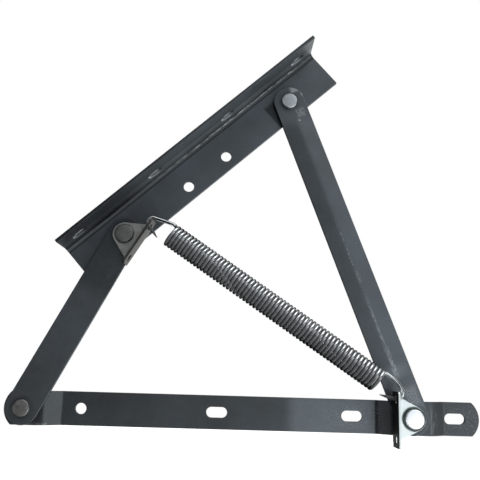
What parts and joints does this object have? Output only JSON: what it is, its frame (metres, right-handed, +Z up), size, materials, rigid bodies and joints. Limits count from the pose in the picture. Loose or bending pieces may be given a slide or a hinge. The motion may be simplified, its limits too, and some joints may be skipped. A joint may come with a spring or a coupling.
{
  "type": "spring lid stay",
  "caption": "Riveted four-bar lift stay: a base bar, a short and a long arm, a folded lid angle and a close-wound tension spring that holds the lid open.",
  "frame": {"origin": "centre of the round fixing hole, on the back face of the base bar", "axes": "+X along the base bar towards the long arm's pivot, +Z up, -Y towards the front, away from the wall"},
  "size_m": [0.431, 0.046, 0.3774],
  "materials": {
    "painted_steel": "semi-matt charcoal paint",
    "dull_rivet": "painted over",
    "bright_zinc": "bright zinc plate",
    "dull_zinc": "dull grey plate",
    "pale_rivet": "bare pale steel",
    "washer_steel": "dark steel",
    "spring_steel": "oiled spring wire"
  },
  "bodies": {
    "base": {"base_bar": "painted_steel", "base_short_rivet": "dull_rivet", "base_long_rivet": "bright_zinc", "base_short_washer": "washer_steel", "base_long_washer": "washer_steel", "head_washer": "washer_steel"},
    "short_arm": {"short_arm": "painted_steel"},
    "lid": {"lid_angle": "painted_steel", "lid_short_rivet": "dull_zinc", "lid_short_washer": "washer_steel", "lid_long_rivet_tail": "pale_rivet"},
    "long_arm": {"long_arm": "painted_steel", "lid_long_rivet": "pale_rivet", "lid_long_washer": "washer_steel"},
    "upper_plate": {"upper_spring_plate": "dull_zinc"},
    "lower_plate": {"lower_spring_plate": "bright_zinc"},
    "spring": {"spring_coil": "spring_steel"},
    "spring_hook": {"spring_top_hook": "spring_steel"}
  },
  "joints": [
    {"name": "short_arm_turn", "type": "hinge", "parent": "base", "child": "short_arm", "pos_m": [-0.05, -0.0136, 0], "axis": [0, -1, 0], "range_deg": [0, 98.86], "stiffness_Nm_per_rad": 60, "springref_deg": -2.86},
    {"name": "lid_turn", "type": "hinge", "parent": "short_arm", "child": "lid", "pos_m": [0.03172, -0.0095, 0.16038], "axis": [0, -1, 0], "range_deg": [-140.96, 0]},
    {"name": "long_arm_turn", "type": "hinge", "parent": "base", "child": "long_arm", "pos_m": [0.3, -0.0136, 0], "axis": [0, -1, 0], "range_deg": [0, 58.78]},
    {"name": "upper_plate_turn", "type": "hinge", "parent": "short_arm", "child": "upper_plate", "pos_m": [0.03172, -0.0164, 0.16038], "axis": [0, -1, 0], "range_deg": [-124.4, 0]},
    {"name": "lower_plate_turn", "type": "hinge", "parent": "base", "child": "lower_plate", "pos_m": [0.3, -0.0164, 0], "axis": [0, -1, 0], "range_deg": [0, 44.13]},
    {"name": "spring_turn", "type": "hinge", "parent": "base", "child": "spring", "pos_m": [0.31544, -0.02935, -0.00828], "axis": [0, -1, 0], "range_deg": [0, 27.41]},
    {"name": "spring_stretch", "type": "slide", "parent": "spring", "child": "spring_hook", "axis": [-0.8335, 0, 0.5526], "range_m": [0, 0.19939], "deforming": ["spring_coil", "spring_top_hook"]}
  ],
  "couplings": [
    {"joint": "lid_turn", "follows": "short_arm_turn", "ratio": -1.4257},
    {"joint": "long_arm_turn", "follows": "short_arm_turn", "ratio": 0.59451},
    {"joint": "upper_plate_turn", "follows": "short_arm_turn", "ratio": -1.2582},
    {"joint": "lower_plate_turn", "follows": "short_arm_turn", "ratio": 0.44628},
    {"joint": "spring_turn", "follows": "short_arm_turn", "ratio": 0.2772},
    {"joint": "spring_stretch", "follows": "short_arm_turn", "m_per_rad": 0.1155}
  ]
}
